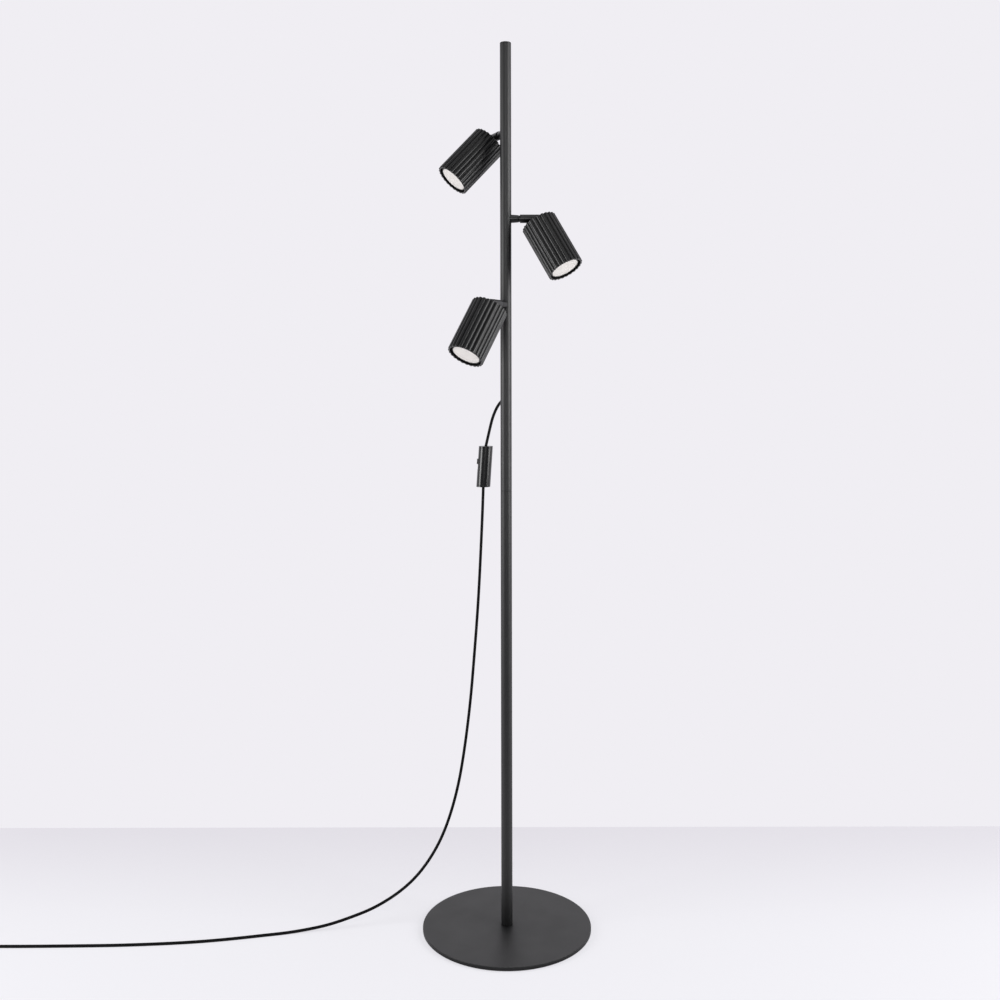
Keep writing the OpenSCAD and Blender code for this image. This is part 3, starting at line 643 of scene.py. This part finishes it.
# Base plate and pole
stand = {
    "plateRadius": 142 * mm,
    "plateBottom": 1.5 * mm,
    "plateTop": 7.5 * mm,
    "plateEdge": 0.9 * mm,
    "plateSteps": 192,
    "recessRadius": 12 * mm,     # under the plate, round the screw
    "recessRoof": 2 * mm,
    "poleRadius": 9.5 * mm,
    "poleBore": 8.3 * mm,
    "poleSteps": 96,
    "seam": 741 * mm,
    "seamEdge": 0.8 * mm,
    "capBottom": 1497.5 * mm,
    "capTop": 1500 * mm,
    "capEdge": 1.1 * mm,
}
upright = placeAlong((0, 0, 0), (0, 0, 1), (1, 0, 0))


def makeStand():
    roof = stand["plateTop"] - stand["recessRoof"]
    plate = turned([
        (stand["plateBottom"], stand["recessRadius"]),
        (stand["plateBottom"], stand["plateRadius"]),
        (stand["plateTop"], stand["plateRadius"]), (stand["plateTop"], 0),
        (roof, 0), (roof, stand["recessRadius"])], stand["plateSteps"])
    softenEdges(plate, stand["plateEdge"])
    finishPiece("basePlate", plate, upright, "stand", ["base_plate"], "powder_steel")
    for name, low, high, node in (
            ("poleLower", stand["plateTop"], stand["seam"], "lower_pole"),
            ("poleUpper", stand["seam"], stand["capBottom"], "upper_pole")):
        tube = turned([(low, stand["poleBore"]), (low, stand["poleRadius"]),
                       (high, stand["poleRadius"]), (high, stand["poleBore"])],
                      stand["poleSteps"])
        softenEdges(tube, stand["seamEdge"])
        finishPiece(name, tube, upright, "stand", [node], "powder_steel")
    cap = turned([(stand["capBottom"], 0), (stand["capBottom"], stand["poleRadius"]),
                  (stand["capTop"], stand["poleRadius"]), (stand["capTop"], 0)],
                 stand["poleSteps"])
    top = [e for e in cap.edges if e.calc_face_angle(0) > steep
           and e.verts[0].co.x > stand["capTop"] - slack]
    roundOff(cap, top, stand["capEdge"], segments=4)
    finishPiece("topCap", cap, upright, "stand", ["top_cap"], "powder_steel")


makeStand()
print("stand done")


# Arms: stubs on the pole, and the knuckles that turn in them
arm = {
    "stubFoot": 7 * mm,        # radius where the stub meets the pole
    "stubBelly": 6.64 * mm,    # radius half-way out
    "stubRadius": 6.1 * mm,    # radius at its far end
    "stubEnd": 22 * mm,
    "stubFrom": 7 * mm,
    "poleSide": 9.5 * mm,
    "stubBore": 3.45 * mm,
    "stubSteps": 64,
    "edge": 0.6 * mm,
    "knuckleEdge": 0.35 * mm,
    "screwEdge": 0.2 * mm,
}


def armPlace(spot):
    swivel, tilt = joints[spot + "_swivel"], joints[spot + "_tilt"]
    middle = Vector((0, 0, swivel["pos_m"][2]))
    return placeAlong(middle, swivel["axis"], tilt["axis"])


def headPlace(spot):
    # at the lower limit of its tilt the head points straight out along the swivel's axis
    swivel, tilt = joints[spot + "_swivel"], joints[spot + "_tilt"]
    droop = Matrix.Rotation(math.radians(-tilt["range_deg"][0]), 3, Vector(tilt["axis"]))
    return placeAlong(tilt["pos_m"], droop @ Vector(swivel["axis"]), tilt["axis"])


def makeArm(spot):
    middle = (arm["poleSide"] + arm["stubEnd"]) / 2
    stub = turned([(arm["stubFrom"], arm["stubBore"]), (arm["stubFrom"], arm["stubFoot"]),
                   (arm["poleSide"], arm["stubFoot"]), (middle, arm["stubBelly"]),
                   (arm["stubEnd"], arm["stubRadius"]), (arm["stubEnd"], arm["stubBore"])],
                  arm["stubSteps"])
    softenEdges(stub, arm["edge"])
    finishPiece(spot + "Stub", stub, armPlace(spot), "stand", [spot + "_stub"],
                "powder_aluminium")
    roundedCopy(spot + "Knuckle", spot + "_knuckle", spot + "_arm", arm["knuckleEdge"],
                "powder_aluminium")
    roundedCopy(spot + "PivotScrew", spot + "_pivot_screw", spot + "_arm",
                arm["screwEdge"], "black_screw")
    roundedCopy(spot + "RearCap", spot + "_rear_cap", spot + "_head", arm["knuckleEdge"],
                "powder_aluminium")


# Heads, measured forwards from the pivot
head = {
    "ribs": 24,
    "ribSteps": 12,
    "ribRadius": 3.3 * mm,
    "ribTurn": {"upper": -3.3, "middle": 0.0, "lower": 6.2},    # degrees
    "outer": 31.2 * mm,
    "groove": 29 * mm,
    "bore": 27.5 * mm,
    "shoulder": 26 * mm,       # inside, where the lampholder sits
    "back": 9 * mm,
    "shoulderFrom": 17.1 * mm,
    "shoulderTo": 21.1 * mm,
    "front": 106.5 * mm,
    "rimEdge": 0.7 * mm,
    "boreEdge": 0.3 * mm,
    "endZone": 1 * mm,         # only the edges this near to an end are rounded
    "sharpAngle": 50,
}


def flutedOutline(ribTurn):
    # polar points (angle, radius) of the ribs and the bottoms of the grooves
    pitch = 2 * math.pi / head["ribs"]
    first = pitch / 2 + math.radians(ribTurn)
    middle = head["outer"] - head["ribRadius"]
    far = (head["groove"] ** 2 + middle ** 2 - head["ribRadius"] ** 2) / (2 * middle)
    reach = math.acos((far - middle) / head["ribRadius"])
    points = []
    for rib in range(head["ribs"]):
        turn = first + pitch * rib
        for k in range(head["ribSteps"] + 1):
            a = reach * (2 * k / head["ribSteps"] - 1)
            x = middle + head["ribRadius"] * math.cos(a)
            y = head["ribRadius"] * math.sin(a)
            points.append((turn + math.atan2(y, x), math.hypot(x, y)))
        points.append((turn + pitch / 2, head["groove"]))
    return points


def makeShell(spot):
    outline = flutedOutline(head["ribTurn"][spot])
    bm = bmesh.new()
    bmesh.ops.create_circle(bm, segments=len(outline), radius=head["outer"])
    bm.verts.ensure_lookup_table()
    for vert, (angle, radius) in zip(list(bm.verts), outline):
        vert.co = (head["back"], radius * math.cos(angle), radius * math.sin(angle))
    ring = list(bm.edges)
    first = list(ring)
    steps = [(head["front"], None), (head["front"], head["bore"]),
             (head["shoulderTo"], head["bore"]), (head["shoulderTo"], head["shoulder"]),
             (head["shoulderFrom"], head["shoulder"]), (head["shoulderFrom"], head["bore"]),
             (head["back"], head["bore"])]
    for along, radius in steps:
        # each step draws the last ring out to a new place along X and a new radius
        made = bmesh.ops.extrude_edge_only(bm, edges=ring)["geom"]
        ring = [g for g in made if isinstance(g, bmesh.types.BMEdge)]
        for vert in [g for g in made if isinstance(g, bmesh.types.BMVert)]:
            vert.co.x = along
            if radius:
                scale = radius / math.hypot(vert.co.y, vert.co.z)
                vert.co.y, vert.co.z = vert.co.y * scale, vert.co.z * scale
    bmesh.ops.bridge_loops(bm, edges=first + ring)
    bmesh.ops.recalc_face_normals(bm, faces=bm.faces)
    bm.normal_update()
    across = Vector((1, 0, 0))
    low, high = head["back"] + head["endZone"], head["front"] - head["endZone"]
    for inner, width in ((False, head["rimEdge"]), (True, head["boreEdge"])):
        rims = [e for e in bm.edges if e.calc_face_angle(0) > steep and isAcross(e, across)
                and (math.hypot(*e.verts[0].co.yz) < head["bore"] + slack) == inner
                and not low < e.verts[0].co.x < high]
        roundOff(bm, rims, width)
    finishPiece(spot + "Shell", bm, headPlace(spot), spot + "_head", [spot + "_shell"],
                "powder_aluminium", head["sharpAngle"])


# Reflector bulb. Lengths whose name ends in Back are measured backwards from its front.
bulb = {
    "front": 104.1 * mm,
    "length": 52 * mm,
    "radius": 25 * mm,
    "rimBack": 14 * mm,
    "flareBack": 22 * mm,
    "flareRadius": 22 * mm,
    "neck": 11 * mm,
    "neckLength": 10 * mm,
    "seatBack": 2.4 * mm,      # behind the lens
    "shadeRingBack": 3 * mm,
    "edge": 0.6 * mm,
    "steps": 96,
    "lensRadius": 23.4 * mm,
    "lensRows": [(2.3, 0), (2.3, 23.4), (0.8, 23.4), (0.45, 23.1), (0.3, 21.5),
                 (0.12, 14), (0.05, 6), (0, 0)],    # mm back and mm radius of a slight crown
    "lensSharp": 60,
    "pinRadius": 1.25 * mm,
    "pinHead": 2.5 * mm,       # radius of the thick end
    "pinLength": 7 * mm,
    "pinNeck": 4.4 * mm,       # from the bulb's back to the thick end
    "pinRoot": 1 * mm,
    "pinApart": 10 * mm,
    "pinEdge": 0.3 * mm,
    "pinSteps": 24,
}


def makeBulb(spot):
    front = bulb["front"]
    back = front - bulb["length"]
    seat = front - bulb["seatBack"]
    glass = turned([
        (back, 0), (back, bulb["neck"]), (back + bulb["neckLength"], bulb["neck"]),
        (front - bulb["flareBack"], bulb["flareRadius"]),
        (front - bulb["rimBack"], bulb["radius"]), (front, bulb["radius"]),
        (front, bulb["lensRadius"]), (seat, bulb["lensRadius"]), (seat, 0)], bulb["steps"])
    softenEdges(glass, bulb["edge"], angle=20)
    end, neck, root = back - bulb["pinLength"], back - bulb["pinNeck"], back + bulb["pinRoot"]
    for side in (-1, 1):
        pin = turned([(end, 0), (end, bulb["pinHead"]), (neck, bulb["pinHead"]),
                      (neck, bulb["pinRadius"]), (root, bulb["pinRadius"]), (root, 0)],
                     bulb["pinSteps"])
        softenEdges(pin, bulb["pinEdge"], angle=40)
        bmesh.ops.translate(pin, verts=pin.verts, vec=(0, side * bulb["pinApart"] / 2, 0))
        joinInto(glass, pin)
    body = finishPiece(spot + "Bulb", glass, headPlace(spot), spot + "_head",
                       [spot + "_bulb"], "bulb_white")
    # painted shade: the front ring of the bulb round the lens is black, standing in for the shaded
    # gap between the bulb and the bore
    body.data.materials.append(finishes["shadeRing"])
    inHead = headPlace(spot).inverted()
    for face in body.data.polygons:
        if (inHead @ face.center).x > front - bulb["shadeRingBack"]:
            face.material_index = 1    # the black ring round the lens
    lens = turned([(front - depth * mm, radius * mm) for depth, radius in bulb["lensRows"]],
                  bulb["steps"])
    finishPiece(spot + "Lens", lens, headPlace(spot), spot + "_head", [spot + "_lens"],
                "lens_frosted", bulb["lensSharp"])


for spot in spots:
    makeArm(spot)
    makeShell(spot)
    makeBulb(spot)
print("arms and heads done")


# Strain relief, with the rings that let it bend
boot = {
    "collar": 5.5 * mm,
    "collarFrom": 7.9 * mm,
    "foot": 11 * mm,
    "tip": 31 * mm,
    "footRadius": 4.6 * mm,
    "tipRadius": 3.3 * mm,
    "rings": 4,
    "ringMarks": ((0.06, 0), (0.62, 0), (0.7, 1), (0.92, 1)),
    "ringDepth": 0.6 * mm,
    "edge": 0.25 * mm,
    "steps": 48,
}


def makeBoot():
    bore = lead["radius"]
    sleeve = ringedSleeve(boot["foot"], boot["tip"], boot["footRadius"], boot["tipRadius"],
                          boot["rings"] + 1, boot["ringMarks"], boot["ringDepth"])
    profile = [(boot["collarFrom"], bore), (boot["collarFrom"], boot["collar"]),
               (boot["foot"], boot["collar"])]
    profile += sleeve[:-2]    # the tip has no cut
    profile += [(boot["tip"], boot["tipRadius"]), (boot["tip"], bore)]
    relief = turned(profile, boot["steps"])
    softenEdges(relief, boot["edge"], angle=25)
    place = placeAlong((0, 0, lead["exitHeight"]), exitAt(1) - exitAt(0), (0, 0, 1))
    return finishPiece("strainRelief", relief, place, "stand", ["cord_boot"], "cord_black")


# Switch: a tube with a slot on its left side, closed by two caps
switch = {
    "radius": 12.2 * mm,
    "bore": 10.2 * mm,
    "tubeHalf": 32.5 * mm,
    "steps": 88,             # so that three steps each way give the slot's width
    "slotReach": 3.2,        # faces whose middle lies within so many steps are cut out
    "slotLow": -4.7 * mm,
    "slotHigh": 12.7 * mm,
    "slotEdge": 0.35 * mm,
    "capInto": 4 * mm,       # how far a cap goes into the tube, and stands out of it
    "capOut": 3 * mm,
    "capFloor": 2.4 * mm,    # height of the floor round the lead
    "capFit": 0.1 * mm,
    "capEdge": 0.5 * mm,
    "sleeve": 3.9 * mm,
    "sleeveStep": 0.6 * mm,
    "sliderEdge": 0.3 * mm,
}


def makeSwitch():
    place = placeAlong(lead["switchPlace"], switchAt(1) - switchAt(0), (-1, 0, 0))
    half = switch["tubeHalf"]
    heights = [-half, switch["slotLow"], switch["slotHigh"], half]
    tube = turned([(h, switch["bore"]) for h in heights]
                  + [(h, switch["radius"]) for h in heights[::-1]], switch["steps"])
    reach = 2 * math.pi * switch["slotReach"] / switch["steps"]
    hole = []
    for face in tube.faces:
        centre = face.calc_center_median()
        radial = math.hypot(centre.y, centre.z)
        inSlot = switch["slotLow"] < centre.x < switch["slotHigh"]
        if inSlot and centre.y > 0 and abs(math.asin(centre.z / radial)) < reach:
            hole.append(face)
    bmesh.ops.delete(tube, geom=hole, context="FACES")
    rims = [e for e in tube.edges if e.is_boundary]
    bmesh.ops.bridge_loops(tube, edges=rims)
    bmesh.ops.recalc_face_normals(tube, faces=tube.faces)
    softenEdges(tube, switch["slotEdge"], angle=40)
    body = finishPiece("switchTube", tube, place, "stand", ["switch_body"], "switch_black")
    low, high, floor = half - switch["capInto"], half + switch["capOut"], half + switch["capFloor"]
    inner = switch["bore"] - switch["capFit"]
    caps = []
    for name, turn, node in (("switchCapTop", 0, "switch_cap_top"),
                             ("switchCapBottom", math.pi, "switch_cap_bottom")):
        cap = turned([(low, lead["radius"]), (low, inner), (half, inner),
                      (half, switch["radius"]), (high, switch["radius"]),
                      (high, switch["sleeve"]), (floor, switch["sleeve"] - switch["sleeveStep"]),
                      (floor, lead["radius"])], switch["steps"])
        softenEdges(cap, switch["capEdge"], angle=30)
        flip = place @ Matrix.Rotation(turn, 4, "Y")
        caps.append(finishPiece(name, cap, flip, "stand", [node], "switch_black"))
    slider = roundedCopy("switchSlider", "switch_slider", "slider", switch["sliderEdge"],
                         "switch_black", 3)
    return [body, slider] + caps


strainRelief = makeBoot()
switchParts = makeSwitch()
print("strain relief and switch done")


# Plug: a flat two-pole one, moulded on the lead. It is measured from the lead's end.
plug = {
    "halfWidth": 17.5 * mm,
    "halfHeight": 8 * mm,
    "length": 36 * mm,
    "gridSteps": 6,
    "waist": 0.46,           # share of the width where the body starts
    "waistTo": 0.42,         # share of the length at which it is at its widest
    "taper": 0.14,           # share of the width lost at the front
    "taperFrom": 0.7,
    "broadEdge": 2.6 * mm,
    "fineEdge": 0.4 * mm,
    "sharpAngle": 45,
    "bootLength": 25 * mm,
    "bootInto": 1 * mm,
    "bootTip": 3.0 * mm,     # radii of the ringed sleeve from the lead's end to the body
    "bootFrom": 3.2 * mm,
    "bootTo": 4.9 * mm,
    "bootRoot": 5.2 * mm,
    "bootRings": 5,
    "ringMarks": ((0.1, 0), (0.6, 0), (0.7, 1), (0.95, 1)),
    "ringDepth": 0.6 * mm,
    "bootEdge": 0.25 * mm,
    "bootSteps": 48,
    "pinApart": 19 * mm,
    "pinEdge": 0.1 * mm,
    "pinSteps": 32,
    # mm past the front of the body and mm radius
    "pinRows": [(-8, 0), (-8, 1.5), (0, 1.5), (10, 1.5), (10, 2), (18, 2), (18.7, 1.5),
                (19, 0.8), (19, 0)],
    "pinSleeveRows": [(-1, 1.55), (-1, 1.9), (9.95, 1.9), (9.95, 1.55)],
}


def makePlug():
    place = placeAlong(plugPlace + Vector((0, coil["gap"], 0)), (0, 1, 0), (-1, 0, 0))
    bm = bmesh.new()
    bmesh.ops.create_grid(bm, x_segments=plug["gridSteps"], y_segments=plug["gridSteps"],
                          size=0.5)    # half of its side
    # a flat outline of the body, drawn up to its thickness and rounded by two bevels
    for vert in bm.verts:
        u, v = vert.co.x + 0.5, 2 * vert.co.y
        swell = math.sin(min(u / plug["waistTo"], 1) * math.pi / 2)
        width = plug["halfWidth"] * (plug["waist"] + (1 - plug["waist"]) * swell)
        width *= 1 - plug["taper"] * max(u - plug["taperFrom"], 0) / (1 - plug["taperFrom"])
        vert.co = (plug["bootLength"] + plug["length"] * u, width * v, -plug["halfHeight"])
    drawn = bmesh.ops.extrude_face_region(bm, geom=list(bm.faces))["geom"]
    bmesh.ops.translate(bm, verts=[g for g in drawn if isinstance(g, bmesh.types.BMVert)],
                        vec=(0, 0, 2 * plug["halfHeight"]))
    bmesh.ops.recalc_face_normals(bm, faces=bm.faces)
    softenEdges(bm, plug["broadEdge"], angle=50, segments=4)
    softenEdges(bm, plug["fineEdge"], angle=60, segments=2)
    root = plug["bootLength"] + plug["bootInto"]
    rows = [(0, 0), (0, plug["bootTip"])]
    rows += ringedSleeve(0, plug["bootLength"], plug["bootFrom"], plug["bootTo"],
                         plug["bootRings"], plug["ringMarks"], plug["ringDepth"])
    rows += [(root, plug["bootRoot"]), (root, 0)]
    sleeve = turned(rows, plug["bootSteps"])
    softenEdges(sleeve, plug["bootEdge"], angle=25)
    joinInto(bm, sleeve)
    pieces = [finishPiece("plugBody", bm, place, "stand", ["plug_body"], "plug_black",
                          plug["sharpAngle"])]
    front = plug["bootLength"] + plug["length"]
    for name, finish, rows in (("plugPins", "nickel_pins", plug["pinRows"]),
                               ("plugPinSleeves", "plug_black", plug["pinSleeveRows"])):
        both = bmesh.new()
        for side in (-1, 1):
            one = turned([(front + along * mm, radius * mm) for along, radius in rows],
                         plug["pinSteps"])
            softenEdges(one, plug["pinEdge"], angle=30)
            bmesh.ops.translate(one, verts=one.verts, vec=(0, side * plug["pinApart"] / 2, 0))
            joinInto(both, one)
        pieces.append(finishPiece(name, both, place, "stand", ["plug_pins"], finish))
    return pieces


plugParts = makePlug()
print("plug done")

ownFinish = {"switch_block": "switch_black"}    # it shows through the switch's slot
for row in frame["record"]["subparts"]:
    node = nodes[row["node"]]
    finish = ownFinish.get(row["node"], row["material_slot"])
    node.data.materials.clear()
    node.data.materials.append(finishes[finish])
for piece in (leadUpper, leadLower):
    piece.data.materials.append(finishes["cord_black"])
print("materials of the nodes and leads done")
